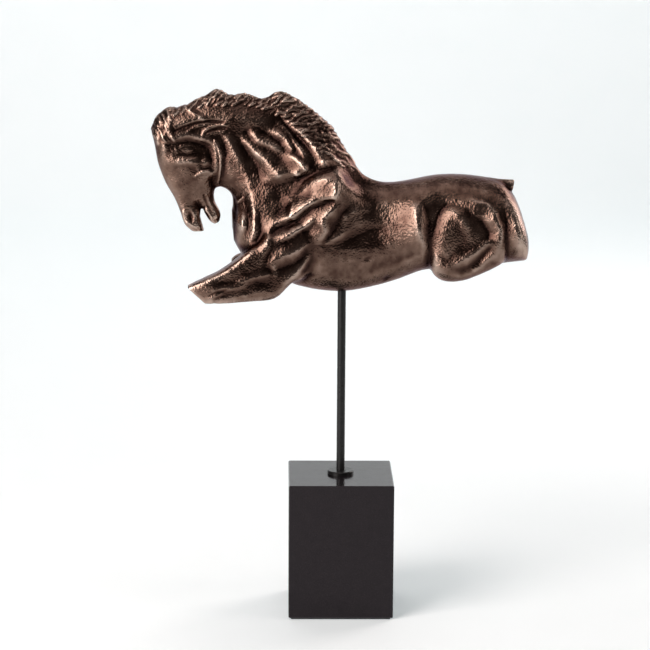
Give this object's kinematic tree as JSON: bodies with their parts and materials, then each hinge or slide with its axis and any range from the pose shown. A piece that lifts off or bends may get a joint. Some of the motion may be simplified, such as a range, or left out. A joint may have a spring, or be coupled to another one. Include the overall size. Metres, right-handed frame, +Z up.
{
  "type": "horse statue on a stand",
  "caption": "Cast bronze horse fragment with bowed head and cut-off limbs, turning on a slim black rod above a square polished stone block.",
  "frame": {"origin": "middle of the face that the stand rests on, under the rod's axis", "axes": "+Z up along the rod; the horse faces -X at rest; -Y is its near side, the side with the long foreleg"},
  "size_m": [0.3575, 0.1033, 0.5045],
  "materials": {
    "bronze": "patinated dark brown bronze, waxed, sand-cast grain",
    "stone": "polished black granite",
    "black_steel": "satin black enamel",
    "zinc": "zinc plated",
    "felt": "pressed felt"
  },
  "bodies": {
    "stand": {"base_block": "stone", "felt_pad": "felt", "clamp_washer": "zinc", "clamp_nut": "zinc", "collar": "black_steel", "rod": "black_steel"},
    "figure": {"belly_socket": "zinc", "horse_casting": "bronze"}
  },
  "joints": [
    {"name": "figure_swivel", "type": "hinge", "parent": "stand", "child": "figure", "pos_m": [0, 0, 0.314], "axis": [0, 0, 1], "continuous": true}
  ]
}
